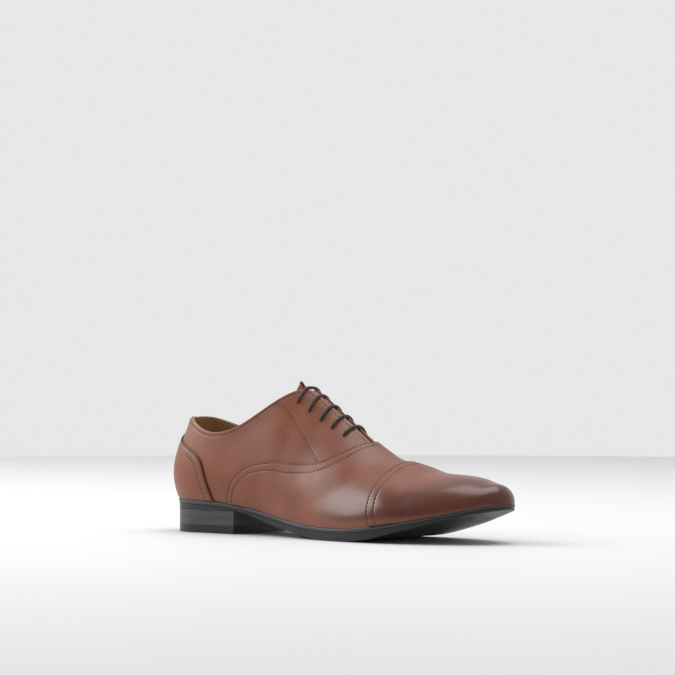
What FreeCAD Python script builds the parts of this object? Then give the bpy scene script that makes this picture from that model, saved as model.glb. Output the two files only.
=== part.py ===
import FreeCAD, Part
import Sketcher
import os
from math import acos, cos, pi, radians, sin, sqrt, tan

V = FreeCAD.Vector

# Driving dimensions in mm (plus counts and angles): name, value, note
SIZES = [
    ("shoe_length", 307, "outsole, heel to toe"),
    ("heel_width", 66, "across the heel seat"),
    ("ball_width", 92.5, "widest part of the sole"),
    ("heel_height", 17.5, "ground to the heel seat"),
    ("toe_spring", 23.5, "lift of the toe off the ground"),
    ("back_height", 86, "ground to the top of the back"),
    ("instep_height", 107, "ground to the top of the facings"),
    ("toe_height", 21, "height of the toe box"),
    ("heel_length", 74, "back of the heel to its breast"),
    ("heel_taper", 1.0, "how far the heel sides draw in"),
    ("rand_thick", 3.0, "welt above the outsole"),
    ("outsole_inset", 0.5, "outsole edge inside the welt edge"),
    ("welt_width", 12, "welt ring from edge to inside"),
    ("insole_thick", 1.9, "insole board"),
    ("sock_thick", 0.8, "sock liner"),
    ("bed_margin", 1.2, "insole edge inside the lining"),
    ("shank_length", 116, "steel shank"),
    ("shank_width", 14, "steel shank"),
    ("shank_thick", 1.6, "steel shank"),
    ("pin_dia", 2.4, "heel pin"),
    ("pin_ring", 20, "radius of the heel pin ring"),
    ("pin_count", 5, "heel pins"),
    ("groove_count", 22, "tread grooves under the forepart"),
    ("groove_pitch", 4.2, "tread groove spacing"),
    ("groove_wide", 1.4, "tread groove"),
    ("groove_deep", 0.8, "tread groove"),
    ("lining_thick", 0.8, "lining leather"),
    ("stiff_thick", 0.8, "stiffeners and backers"),
    ("leather_thick", 1.2, "outer leather"),
    ("layer_gap", 0.2, "glue line between layers"),
    ("lap", 9, "how far one leather runs under the next"),
    ("eyelet_rows", 5, "pairs of eyelets"),
    ("eyelet_first", 117.5, "top eyelet, from the heel"),
    ("eyelet_pitch", 10.75, "eyelet spacing along the shoe"),
    ("eyelet_reach", 12.5, "eyelet from the middle of the throat"),
    ("lace_dia", 2.4, "round lace"),
    ("lace_clear", 0.4, "room round the lace"),
    ("tongue_reach", 18, "half the tongue measured round the instep"),
    ("tongue_rise", 12, "tongue past the top eyelet"),
    ("aglet_length", 18, "lace tip"),
]

document = FreeCAD.newDocument("oxford")
sheet = document.addObject("Spreadsheet::Sheet", "Sizes")
for row, (name, value, note) in enumerate(SIZES, 1):
    sheet.set("A%d" % row, name)
    sheet.set("B%d" % row, str(value))
    sheet.set("C%d" % row, note)
    sheet.setAlias("B%d" % row, name)
document.recompute()
D = {name: float(getattr(sheet, name)) for name, _, _ in SIZES}


def spline(xs, ys):
    """Natural cubic through (xs, ys), held flat outside."""
    n = len(xs)
    h = [xs[i + 1] - xs[i] for i in range(n - 1)]
    low, mu, z, m = [1.0] * n, [0.0] * n, [0.0] * n, [0.0] * n
    for i in range(1, n - 1):
        rise = 3 * ((ys[i + 1] - ys[i]) / h[i] - (ys[i] - ys[i - 1]) / h[i - 1])
        low[i] = 2 * (xs[i + 1] - xs[i - 1]) - h[i - 1] * mu[i - 1]
        mu[i] = h[i] / low[i]
        z[i] = (rise - h[i - 1] * z[i - 1]) / low[i]
    for i in range(n - 2, -1, -1):
        m[i] = z[i] - mu[i] * m[i + 1]

    def value(x):
        x = min(max(x, xs[0]), xs[-1])
        i = 0
        while i < n - 2 and x > xs[i + 1]:
            i += 1
        t = x - xs[i]
        b = (ys[i + 1] - ys[i]) / h[i] - h[i] * (m[i + 1] + 2 * m[i]) / 3
        return ys[i] + b * t + m[i] * t * t + (m[i + 1] - m[i]) / (3 * h[i]) * t ** 3
    return value


def ease(t):
    t = min(max(t, 0.0), 1.0)
    return t * t * (3 - 2 * t)


def mix(a, b, t):
    return a + (b - a) * t


class Last:
    """Foot-shaped surface: u runs heel to toe, w from the sole edge up, side -1 lateral, +1 medial."""

    def __init__(self, v):
        self.sections = {}
        self.length = v["shoe_length"]
        hw, bw, k = v["heel_width"] / 66.0, v["ball_width"] / 92.5, self.length / 307.0
        ankle, instep, toe = v["back_height"] / 86.0, v["instep_height"] / 107.0, v["toe_height"] / 21.0
        spring, seat = v["toe_spring"] / 23.5, (v["heel_height"] + 8.0) / 25.5
        seat_z = v["heel_height"]
        self.k = k
        knots = [i / 10 for i in range(11)]
        heel = [0, 20.4, 31.6, 33.2, 34.5]
        self.lateral = spline(knots, [y * hw for y in heel] + [y * bw for y in (43.5, 51.0, 47.5, 34.0, 17.5, 0)])
        heel[4] = 27.5
        self.medial = spline(knots, [y * hw for y in heel] + [y * bw for y in (30.0, 41.0, 42.0, 32.0, 17.5, 0)])

        def along(pairs, floor=None):
            line = spline([self.u_of(x * k) for x, _ in pairs], [value for _, value in pairs])
            return line if floor is None else lambda u: max(floor, line(u))
        self.sole_top = along([(0, 25.5 * seat), (40, 24.0 * seat), (75, 22.0 * seat), (105, 8 + 9.5 * seat),
                               (140, 11.5), (178, 9.0), (205, 9.8), (225, 3.5 + 8.8 * spring),
                               (243, 3.5 + 11.2 * spring), (260, 3.5 + 14.2 * spring), (275, 3.5 + 17.4 * spring),
                               (288.5, 3.5 + 20.6 * spring), (300, 3.6 + 23.4 * spring), (307, 4.8 + 23.5 * spring)])
        self.sole_low = along([(0, seat_z), (30, seat_z), (60, seat_z), (76, seat_z), (90, 0.86 * seat_z),
                               (112, 0.53 * seat_z), (140, 4.0), (172, 0.3), (193, 0.0), (215, 1.7 * spring),
                               (235, 6.2 * spring), (258, 12.2 * spring), (272, 16.2 * spring),
                               (288, 20.6 * spring), (307, 24.7 * spring)], floor=0.0)
        self.inset = along([(0, 4.6), (40, 4.6), (70, 4.2), (110, 3.6), (160, 3.6), (220, 3.7), (280, 3.6), (307, 3.6)])
        # height of the upper edge or ridge above the ground
        self.crest = along([(0, 86 * ankle), (8, 85 * ankle), (22, 80.5 * ankle), (40, 76.3 * ankle), (60, 76.8 * ankle),
                            (80, 84 * ankle), (100, 97.5 * instep), (110, 104.5 * instep), (117, 107.0 * instep),
                            (122, 105.5 * instep), (140, 93.5 * instep), (160, 79.0 * instep), (176, 67.5 * instep),
                            (195, 57.5), (218, 51.3), (240, 46.5), (262, 24.0 + 21.0 * toe), (280, 23.2 + 20.0 * toe),
                            (292, 24.8 + 15.5 * toe), (300, 26.8 + 11.8 * toe), (305, 28.0 + 6.5 * toe),
                            (307, 5.4 + 23.5 * spring)])
        # half the width of the opening at the top: the mouth, then the narrow slit between the facings
        self.lip = along([(0, 0), (4, 8.0), (12, 14.0), (30, 22.0), (60, 27.0), (82, 25.0), (100, 19.0), (109, 12.5),
                          (115, 6.2), (118.5, 3.0), (121.5, 1.75), (125, 1.5), (130, 1.5), (140, 1.5), (150, 1.5),
                          (160, 1.5), (170, 1.5), (178, 1.2), (185, 0.5), (191, 0.05), (196, 0), (204, 0), (220, 0),
                          (260, 0), (307, 0)])
        self.lean_y = along([(0, 0), (40, 0), (90, 3), (125, 6.0), (160, 7.0), (200, 7.5), (250, 7.5), (285, 6.5), (307, 6.0)])
        self.swell = along([(0, 5.5), (40, 6.0), (75, 6.6), (110, 7.4), (150, 4.0), (190, 1.5), (230, 1.5), (280, 2.0), (307, 1.0)])
        self.belly = along([(0, .30), (40, .33), (80, .36), (120, .34), (150, .34), (185, .42), (215, .50), (260, .52), (307, .55)])
        self.neck = along([(0, .70), (40, .62), (80, .50), (105, .46), (118, .42), (124, .36), (130, .31), (140, .275),
                           (150, .32), (160, .38), (172, .44), (185, .485), (215, .545), (240, .59), (260, .62),
                           (285, .605), (307, .56)])
        self.brow = along([(0, .72), (40, .74), (80, .76), (105, .86), (121, .93), (150, .96), (185, .98), (215, 1.0), (307, 1.0)])
        self.tilt = spline([0, .12, .3, .5, .75, 1.0], [0.2, -1.8, -4.0, -3.0, 1.2, 5.4])

    def u_of(self, x):
        return acos(max(-1.0, min(1.0, 1 - 2 * x / self.length))) / pi

    def x_of(self, u):
        return self.length * (1 - cos(pi * u)) / 2

    def middle(self, u):
        return 6.0 * u ** 3

    def half(self, u, side):
        return self.lateral(u) if side < 0 else self.medial(u)

    def edge(self, u, side, inset=0.0):
        """Plan point of the sole outline, moved inward along the plan normal."""
        if u < 1e-6:
            return inset, 0.0
        if u > 1 - 1e-6:
            return self.length - inset, self.middle(1)
        a, b = max(0.0, u - 1e-4), min(1.0, u + 1e-4)
        tx = self.x_of(b) - self.x_of(a)
        ty = self.middle(b) - self.middle(a) + side * (self.half(b, side) - self.half(a, side))
        n = sqrt(tx * tx + ty * ty)
        return (self.x_of(u) + side * ty / n * inset,
                self.middle(u) + side * self.half(u, side) - side * tx / n * inset)

    def section(self, u, side):
        """What every point of one section needs, kept for the next call."""
        key = (u, side)
        if key not in self.sections:
            ex, ey = self.edge(u, side, self.inset(u))
            mid, low, t = self.middle(u), self.sole_top(u), self.lip(u)
            f, h = abs(ey - mid), max(self.crest(u) - low, 0.01)
            fade = min(1.0, f / 12.0) * min(1.0, h / 12.0)
            self.sections[key] = (ex, mid, low, f, t, h, f + self.swell(u) * fade, self.belly(u) * h,
                                  t + self.neck(u) * (f - t), self.brow(u) * h, self.lean_y(u) - mid,
                                  1 - ease(self.x_of(u) / (95.0 * self.k)))
        return self.sections[key]

    def point(self, u, w, side):
        """Point of the last's surface."""
        ex, mid, low, f, t, h, y1, z1, y2, z2, lean, rear = self.section(u, side)
        c = 1 - w
        y = c ** 3 * f + 3 * c * c * w * y1 + 3 * c * w * w * y2 + w ** 3 * t
        z = 3 * c * c * w * z1 + 3 * c * w * w * z2 + w ** 3 * h
        return ex + self.tilt(w) * rear, mid + side * y + lean * ease(w), low + z

    def normal(self, u, w, side):
        """Outward unit normal."""
        e = 2e-4
        a0, a1 = max(u - e, 0.0), min(u + e, 1.0)
        b0, b1 = max(w - e, 0.0), min(w + e, 1.0)
        along = V(*self.point(a1, w, side)) - V(*self.point(a0, w, side))
        up = V(*self.point(u, b1, side)) - V(*self.point(u, b0, side))
        n = (along.cross(up) * (-side)).normalize()
        if n.z < 0:
            n.z *= ease(w / 0.08)      # level at the sole, so every layer ends on the welt
        return n.normalize()

    def at(self, u, v):
        """Point and outward normal; v runs from -1 (lateral edge) over the ridge (0) to 1 (medial edge).
        A negative u reads the lateral side, so a patch can run round the heel."""
        side = -1 if v < 0 else 1
        if u < 0:
            side, u = -side, -u
        w = 1 - abs(v)
        if abs(v) > 1e-9:
            return V(*self.point(u, w, side)), self.normal(u, w, side)
        both = [V(*self.point(u, 1.0, k)) for k in (-1, 1)]
        n = self.normal(u, 1.0, -1) + self.normal(u, 1.0, 1)
        return (both[0] + both[1]) * 0.5, n.normalize()

    def w_at_reach(self, u, side, reach):
        """How far up the section lies a given distance sideways from the ridge."""
        low, high = 0.4, 1.0
        for _ in range(40):
            w = (low + high) / 2
            if abs(self.point(u, w, side)[1] - self.lean_y(u)) > reach:
                low = w
            else:
                high = w
        return w


LAST = Last(D)
U, K = LAST.u_of, LAST.k
END = 0.0012          # stops just short of the toe tip and back seam, where a section closes up
SIDES = (("lateral", -1), ("medial", 1))

# layers of the upper, measured outward from the last
LINING = (0.0, D["lining_thick"])
STIFF = (LINING[1] + D["layer_gap"], LINING[1] + D["layer_gap"] + D["stiff_thick"])
OUTER = (STIFF[1] + D["layer_gap"], STIFF[1] + D["layer_gap"] + D["leather_thick"])
RAISE = D["leather_thick"] + D["layer_gap"]
LACE_R = D["lace_dia"] / 2
LACE_ON_TOP = OUTER[1] + LACE_R + 0.7
LACE_BELOW = -(LACE_R + 1.0)
TONGUE_SKIN = LACE_BELOW - LACE_R - D["lace_clear"] - 0.7


def pattern(points, shift=0.0):
    """Pattern line through (x, w) points: a function of t, 0 at the sole edge, 1 at the top, giving (u, w)."""
    ranks = [i / (len(points) - 1) for i in range(len(points))]
    xs, ws = spline(ranks, [x + shift for x, _ in points]), spline(ranks, [w for _, w in points])
    return lambda t: (U(xs(t) * K), min(1.0, max(0.0, ws(t))))


# pattern lines as (distance from the heel, height up the section)
VAMP_EDGE = [(68.5, 0.0), (70.5, 0.15), (75, 0.28), (81.5, 0.36), (91, 0.392), (106, 0.376), (123, 0.372),
             (140, 0.422), (154, 0.49), (164.5, 0.60), (171, 0.735), (174.5, 0.87), (177, 1.0)]
VAMP_FOLD = [(77.5, 0.0), (79.5, 0.11), (83.5, 0.19), (89.5, 0.25), (97.5, 0.276), (108, 0.272), (124, 0.262),
             (142, 0.31), (158, 0.385), (171, 0.51), (178, 0.66), (181.5, 0.83), (183, 1.0)]   # 9 mm inside the edge
CAP_EDGE = [(221, 0.0), (216.5, 0.25), (214, 0.5), (212.5, 0.75), (212, 1.0)]
COUNTER_EDGE = [(55.5, 0.0), (53.5, 0.14), (50.8, 0.28), (47.5, 0.42), (42.5, 0.55), (34, 0.635), (22, 0.672),
                (10, 0.69), (3.2, 0.73), (1.7, 0.80), (1.5, 0.88), (1.5, 0.965)]
LINING_EDGE = [(148, 0.0), (160, 0.33), (172, 0.66), (184, 1.0)]
BACKER_EDGE = [(150, 0.01), (157, 0.25), (163, 0.5), (168, 0.80)]


def over_ridge(curve):
    """Pattern line crossing the ridge: q from 0 (lateral edge) to 1 (medial edge)."""
    def place(q):
        u, w = curve(1 - abs(2 * q - 1))
        return u, (w - 1) if q < 0.5 else (1 - w)
    return place


EDGE = 1e-6           # keeps a side's top row on its own edge, where 0 would mean the middle of the opening


def on_side(curve, side):
    def place(q):
        u, w = curve(q)
        return u, side * max(1 - w, EDGE)
    return place


def upright(x, side, low, high):
    """Straight line up a section at a fixed distance from the heel."""
    return lambda q: (U(x * K), side * (1 - mix(low, high, q)))


def toe_end(q):
    return 1 - END, (2 * q - 1)


def ruled(back, front):
    """Patch between two pattern lines: p from back to front, q along them."""
    def place(p, q):
        (ua, va), (ub, vb) = back(q), front(q)
        return mix(ua, ub, p), mix(va, vb, p)
    return place


def knot_row(n):
    """Clamped cubic knots for n evenly spaced points, full list."""
    return [0.0] * 4 + [float(i) for i in range(2, n - 2)] + [n - 1.0] * 4


def solver(n, cache={}):
    """Inverse of the cubic B-spline collocation matrix for n evenly spaced points."""
    if n in cache:
        return cache[n]
    knots = knot_row(n)
    rows = []
    for i in range(n):
        t = min(float(i), n - 1 - 1e-9)
        values = [1.0 if knots[j] <= t < knots[j + 1] else 0.0 for j in range(n + 3)]
        for degree in (1, 2, 3):
            for j in range(n + 3 - degree):
                left, right = knots[j + degree] - knots[j], knots[j + degree + 1] - knots[j + 1]
                values[j] = ((t - knots[j]) / left * values[j] if left else 0.0) + (
                    (knots[j + degree + 1] - t) / right * values[j + 1] if right else 0.0)
        rows.append(values[:n] + [1.0 if k == i else 0.0 for k in range(n)])
    for i in range(n):
        best = max(range(i, n), key=lambda r: abs(rows[r][i]))
        rows[i], rows[best] = rows[best], rows[i]
        pivot = rows[i][i]
        rows[i] = [value / pivot for value in rows[i]]
        for r in range(n):
            if r != i and abs(rows[r][i]) > 1e-14:
                factor = rows[r][i]
                rows[r] = [a - factor * b for a, b in zip(rows[r], rows[i])]
    cache[n] = [row[n:] for row in rows]
    return cache[n]


def weighted(weights, points):
    total = V(0, 0, 0)
    for weight, point in zip(weights, points):
        if abs(weight) > 1e-9:
            total += point * weight
    return total


def knots_of(n):
    return [0.0] + [float(i) for i in range(2, n - 2)] + [n - 1.0], [4] + [1] * (n - 4) + [4]


def grid_poles(points):
    """Poles of the cubic surface through a grid of points, evenly spaced in both parameters."""
    n, m = len(points), len(points[0])
    across, along = solver(m), solver(n)
    half = [[weighted(across[j], row) for j in range(m)] for row in points]
    columns = [[half[i][j] for i in range(n)] for j in range(m)]
    return [[weighted(along[i], columns[j]) for j in range(m)] for i in range(n)]


def face(poles):
    (knots, mults), (more, counts) = knots_of(len(poles)), knots_of(len(poles[0]))
    surface = Part.BSplineSurface()
    surface.buildFromPolesMultsKnots(poles, mults, counts, knots, more, False, False, 3, 3)
    return surface.toShape()


def wall(a, b):
    """Straight wall between two matching rows of poles."""
    knots, mults = knots_of(len(a))
    surface = Part.BSplineSurface()
    surface.buildFromPolesMultsKnots([a, b], [2, 2], mults, [0.0, 1.0], knots, False, False, 1, 3)
    return surface.toShape()


def skin(outer, inner):
    """Solid between two matching grids of points."""
    top, bottom = grid_poles(outer), grid_poles(inner)
    faces = [face(top), face(bottom), wall(top[0], bottom[0]), wall(top[-1], bottom[-1]),
             wall([row[0] for row in top], [row[0] for row in bottom]),
             wall([row[-1] for row in top], [row[-1] for row in bottom])]
    shell = Part.makeShell(faces)
    shell.sewShape()
    solid = Part.makeSolid(Part.Shell(shell.Faces))
    if solid.Volume < 0:
        solid.reverse()
    return solid


def patch(place, layer, np, nq, lift=None):
    """Leather or stiffener lying on the last. lift(p, q, point) raises it over the piece beneath."""
    outer, inner = [], []
    for i in range(np + 1):
        rows = ([], [])
        for j in range(nq + 1):
            p, q = i / np, j / nq
            point, n = LAST.at(*place(p, q))
            up = lift(p, q, point) if lift else 0.0
            rows[0].append(point + n * (layer[1] + up))
            rows[1].append(point + n * (layer[0] + up))
        outer.append(rows[0])
        inner.append(rows[1])
    return skin(outer, inner)


def lap_lift(under):
    """Height over the piece beneath: full on the lap, easing down within 8 mm of the lap line."""
    line = [LAST.at(*under(i / 90))[0] for i in range(91)]

    def lift(p, q, point):
        if p <= LAP_END:
            return RAISE
        away = min((point - other).Length for other in line)
        return RAISE * (1 - ease((away - 1.5) / 8.0))
    return lift


def plate(inset, low, high):
    """Flat-lying piece: the sole outline moved in by inset(u), cut to the band between two height lines."""
    count = 44
    rim = [V(*LAST.edge(i / count, -1, inset(i / count)), -20) for i in range(count)]
    rim += [V(*LAST.edge(i / count, 1, inset(i / count)), -20) for i in range(count, 0, -1)]
    outline = Part.BSplineCurve()
    outline.interpolate(rim, PeriodicFlag=True)
    column = Part.Face(Part.Wire(outline.toShape())).extrude(V(0, 0, 100))
    lines = []
    for height in (low, high):
        curve = Part.BSplineCurve()
        curve.interpolate([V(D["shoe_length"] * i / 60, -100, height(U(D["shoe_length"] * i / 60)))
                           for i in range(61)])
        lines.append(curve.toShape())
    for a, b in ((lines[0].Vertexes[0], lines[1].Vertexes[0]), (lines[0].Vertexes[-1], lines[1].Vertexes[-1])):
        lines.append(Part.LineSegment(a.Point, b.Point).toShape())
    band = Part.Face(Part.Wire(Part.__sortEdges__(lines))).extrude(V(0, 200, 0))
    return column.common(band)


def strip(x0, x1, half, middle, low, high, np=20, nq=4):
    """Straight-sided strip following two height lines."""
    grids = ([], [])
    for i in range(np + 1):
        x = mix(x0, x1, i / np)
        for grid, z in ((grids[0], high(U(x))), (grids[1], low(U(x)))):
            grid.append([V(x, middle + half * (2 * j / nq - 1), z) for j in range(nq + 1)])
    return skin(grids[0], grids[1])


# bottom ---------------------------------------------------------------------------------

def rand_floor(u):
    return LAST.sole_top(u) - D["rand_thick"] * (1 - 0.5 * ease((LAST.x_of(u) / K - 215) / 60))


def outsole():
    """Rubber sole: level under the heel, curving up to the toe, grooved under the forepart."""
    body = plate(lambda u: D["outsole_inset"], LAST.sole_low, lambda u: rand_floor(u) - 0.1)
    first = 188 * K
    cutters = []
    for i in range(int(D["groove_count"])):
        x = first + i * D["groove_pitch"]
        low, high = LAST.sole_low(U(x)), LAST.sole_low(U(x + D["groove_wide"]))
        reach = [LAST.edge(U(x), side, 9.0)[1] for side in (-1, 1)]
        corners = [V(x, reach[0], low - 2), V(x + D["groove_wide"], reach[0], high - 2),
                   V(x + D["groove_wide"], reach[0], high + D["groove_deep"]), V(x, reach[0], low + D["groove_deep"])]
        cutters.append(Part.Face(Part.makePolygon(corners + corners[:1])).extrude(V(0, reach[1] - reach[0], 0)))
    return body.cut(Part.makeCompound(cutters))


def welt():
    """Rand between outsole and upper: a ring following the sole edge."""
    ring = plate(lambda u: 0.0, rand_floor, lambda u: LAST.sole_top(u) - 0.12)
    core = plate(lambda u: D["welt_width"], lambda u: rand_floor(u) - 2, lambda u: LAST.sole_top(u) + 2)
    return ring.cut(core)


def shank_span():
    start = 42 * K
    return start, start + D["shank_length"]


def filler():
    """Cork bed inside the welt, with a slot for the shank."""
    bed = plate(lambda u: D["welt_width"] + 0.3, rand_floor, lambda u: LAST.sole_top(u) - 0.1)
    start, end = shank_span()
    slot = strip(start - 0.4, end + 0.4, D["shank_width"] / 2 + 0.4, 0, lambda u: rand_floor(u) - 2,
                 lambda u: LAST.sole_top(u) + 2)
    return bed.cut(slot)


def shank():
    start, end = shank_span()
    return strip(start, end, D["shank_width"] / 2, 0, lambda u: LAST.sole_top(u) - 0.4 - D["shank_thick"],
                 lambda u: LAST.sole_top(u) - 0.4)


def insole():
    return plate(lambda u: LAST.inset(u) + D["bed_margin"],
                 lambda u: LAST.sole_top(u) + 0.1, lambda u: LAST.sole_top(u) + 0.1 + D["insole_thick"])


def sock():
    base = 0.3 + D["insole_thick"]
    return plate(lambda u: LAST.inset(u) + D["bed_margin"] + 0.4,
                 lambda u: LAST.sole_top(u) + base, lambda u: LAST.sole_top(u) + base + D["sock_thick"])


# upper ----------------------------------------------------------------------------------

def laid_under(edge, fold):
    """Line a lap's width inside an edge, where fold is the one 9 mm inside."""
    share = D["lap"] / 9.0

    def line(t):
        (u, w), (ub, wb) = edge(t), fold(t)
        return mix(u, ub, share), mix(w, wb, share)
    return line


def vamp_under():
    return laid_under(pattern(VAMP_EDGE), pattern(VAMP_FOLD))


def cap_under():
    return laid_under(pattern(CAP_EDGE), pattern(CAP_EDGE, 9))


LAP_END = 0.2         # share of a lapped patch's rows that lie on the piece beneath


def in_two(edge, under, front):
    """Patch from an edge over its lap line to the far line."""
    near, far = ruled(edge, under), ruled(under, front)
    return lambda p, q: near(p / LAP_END, q) if p < LAP_END else far((p - LAP_END) / (1 - LAP_END), q)


def vamp_place():
    """The rows of the vamp's back wings run down to the sole edge at the cap."""
    cap = cap_under()
    share = spline([0, 0.33, 0.62, 0.78, 1.0], [0, 0.05, 0.24, 0.50, 1.0])
    return in_two(over_ridge(pattern(VAMP_EDGE)), over_ridge(vamp_under()), over_ridge(lambda t: cap(share(t))))


def cap_place():
    return in_two(over_ridge(pattern(CAP_EDGE)), over_ridge(cap_under()), toe_end)


def eyelet_u(row):
    return U((D["eyelet_first"] + row * D["eyelet_pitch"]) * K)


def eyelet_seat(row, side):
    """Middle of an eyelet on the last, with its outward normal."""
    u = eyelet_u(row)
    w = LAST.w_at_reach(u, side, D["eyelet_reach"])
    return LAST.at(u, side * (1 - w))


def eyelet_bores(side, radius):
    bores = []
    for row in range(int(D["eyelet_rows"])):
        point, n = eyelet_seat(row, side)
        bores.append(Part.makeCylinder(radius, 12, point - n * 5, n))
    return Part.makeCompound(bores)


HOLE_R = LACE_R + D["lace_clear"]


def quarter(side):
    """Side of the shoe, back seam to vamp, with its facing."""
    body = patch(ruled(lambda q: (END, side * max(1 - q, EDGE)), on_side(vamp_under(), side)), OUTER, 56, 24)
    return body.cut(eyelet_bores(side, HOLE_R))


def vamp():
    return patch(vamp_place(), OUTER, 30, 56, lap_lift(over_ridge(vamp_under())))


def toe_cap():
    return patch(cap_place(), OUTER, 25, 36, lap_lift(over_ridge(cap_under())))


def counter_cover():
    """Leather over the heel and up the back seam as a narrow strip."""
    edge = pattern(COUNTER_EDGE)

    def place(p, q):
        u, w = edge(q)
        return (2 * p - 1) * u, 1 - w
    return patch(place, (OUTER[0] + RAISE, OUTER[1] + RAISE), 28, 40)


def round_heel(reach, low, high, layer, np, nq):
    """Band round the heel between two heights."""
    def place(p, q):
        return (2 * p - 1) * U(reach * K), 1 - mix(low, high, q)
    return patch(place, layer, np, nq)


def heel_counter():
    return round_heel(78, 0.01, 0.72, STIFF, 32, 12)


def topline_tape():
    return round_heel(103, 0.83, 0.97, STIFF, 40, 4)


def toe_puff():
    return patch(ruled(over_ridge(pattern(CAP_EDGE, 4)), toe_end), STIFF, 20, 28)


def vamp_backer():
    back = over_ridge(pattern(LINING_EDGE, 5))
    return patch(ruled(back, over_ridge(pattern(CAP_EDGE, 1))), STIFF, 16, 28)


def quarter_backer(side):
    back = upright(80, side, 0.01, 0.80)
    front = on_side(pattern(BACKER_EDGE), side)
    return patch(ruled(back, front), STIFF, 24, 14).cut(eyelet_bores(side, HOLE_R + 0.6))


def facing_stay(side):
    body = patch(ruled(upright(107, side, 0.82, 0.985), upright(181, side, 0.82, 0.985)), STIFF, 28, 6)
    return body.cut(eyelet_bores(side, HOLE_R + 0.6))


def quarter_lining(side):
    def back(q):
        return END, side * max(1 - mix(0.005, 1.0, q), EDGE)
    body = patch(ruled(back, on_side(pattern(LINING_EDGE), side)), LINING, 56, 20)
    return body.cut(eyelet_bores(side, HOLE_R + 0.6))


def vamp_lining():
    back = over_ridge(pattern(LINING_EDGE, 1.2))
    return patch(ruled(back, toe_end), LINING, 28, 36)


def eyelets():
    """Hidden metal eyelets: a barrel through lining and stay, with a flange inside."""
    made = []
    for _, side in SIDES:
        for row in range(int(D["eyelet_rows"])):
            point, n = eyelet_seat(row, side)
            barrel = Part.makeCylinder(HOLE_R + 0.4, STIFF[1] + 0.7, point - n * 0.7, n)
            flange = Part.makeCylinder(HOLE_R + 1.2, 0.3, point - n * 0.75, n)
            bore = Part.makeCylinder(HOLE_R, 12, point - n * 5, n)
            made.append(barrel.fuse(flange).cut(bore))
    return Part.makeCompound(made)


# tongue ---------------------------------------------------------------------------------

def tongue_span():
    return (D["eyelet_first"] - D["tongue_rise"]) * K, 187 * K


def around(u, side, reach):
    """Point and normal a distance round the instep from the middle of the throat."""
    last = V(LAST.point(u, 1, side)[0], LAST.lean_y(u), LAST.crest(u))
    walked, steps = 0.0, 60
    for i in range(steps + 1):
        w = 1 - 0.6 * i / steps
        here = V(*LAST.point(u, w, side))
        hop = (here - last).Length
        if walked + hop >= reach:
            n = LAST.normal(u, w, side) if i else LAST.at(u, 0)[1]
            return last + (here - last) * ((reach - walked) / hop), n
        walked += hop
        last = here
    return here, LAST.normal(u, w, side)


def tongue_skin(depth, thick):
    """Tongue layer: runs under the facings and stands up past them, its base close under the vamp."""
    start, end = tongue_span()
    corner = 122 * K
    outer, inner = [], []
    for i in range(27):
        t = i / 26
        x = mix(start, end, t)
        u = U(max(x, corner))
        spare = max(0.0, corner - x)
        half = D["tongue_reach"] * mix(1.0, 0.86, t) * (1 - 0.28 * (1 - ease(t / 0.10)))
        off = mix(depth, depth - TONGUE_SKIN - 0.6, ease((t - 0.74) / 0.24))
        rows = ([], [])
        for j in range(-7, 8):
            side = -1 if j < 0 else 1
            point, n = around(u, side, half * abs(j) / 7) if j else LAST.at(u, 0)
            point = point + V(-0.62 * spare, 0, 0.8 * spare)
            rows[0].append(point + n * off)
            rows[1].append(point + n * (off - thick))
        outer.append(rows[0])
        inner.append(rows[1])
    return skin(outer, inner)


def tongue():
    return tongue_skin(TONGUE_SKIN, D["leather_thick"])


def tongue_lining():
    return tongue_skin(TONGUE_SKIN - D["leather_thick"] - D["layer_gap"], D["lining_thick"])


# lace -----------------------------------------------------------------------------------

def bar(row, start):
    """Points of one bar, out of an eyelet on the start side and into the one opposite."""
    u = eyelet_u(row)
    points = []
    for side in (start, -start):
        point, n = eyelet_seat(row, side)
        half = [point + n * LACE_BELOW, point + n * LACE_ON_TOP]
        for share in (0.56, 0.21):
            w = LAST.w_at_reach(u, side, D["eyelet_reach"] * share)
            point, n = LAST.at(u, side * max(1 - w, EDGE))
            half.append(point + n * LACE_ON_TOP)
        points += half if side == start else half[::-1]
    return points


def inner_run(first, second, side, shift):
    """Run inside the facing between two rows, moved sideways to pass the rows between."""
    points = []
    for part in (0.25, 0.75):
        row = mix(first, second, part)
        u = eyelet_u(row)
        w = LAST.w_at_reach(u, side, D["eyelet_reach"] + shift)
        point, n = LAST.at(u, side * (1 - w))
        points.append(point + n * LACE_BELOW)
    return points


def tucked(side, row):
    """Spare lace lying inside: down the wall of the quarter and forward along the sole."""
    x = (D["eyelet_first"] + row * D["eyelet_pitch"]) * K
    route = [(x + 3, 0.70), (x + 6, 0.50), (x + 10, 0.32), (x + 22, 0.22), (x + 50, 0.20), (x + 85, 0.26), (x + 118, 0.32)]
    points = []
    for along, w in route:
        point, n = LAST.at(U(along), side * (1 - w))
        points.append(point + n * (LACE_BELOW - 2.4))
    return points


def lace_points():
    """Straight lacing: every row a level bar, the runs between hidden inside, both ends tucked away."""
    last = int(D["eyelet_rows"]) - 1
    lateral = tucked(-1, 1)[::-1] + bar(1, -1) + inner_run(1, 3, 1, 2.6) + bar(3, 1)
    lateral += inner_run(3, 4, -1, 0.0)
    return (lateral + bar(last, -1) + inner_run(4, 2, 1, -3.6) + bar(2, 1) + inner_run(2, 0, -1, 0.0)
            + bar(0, -1) + tucked(1, 0))


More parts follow.
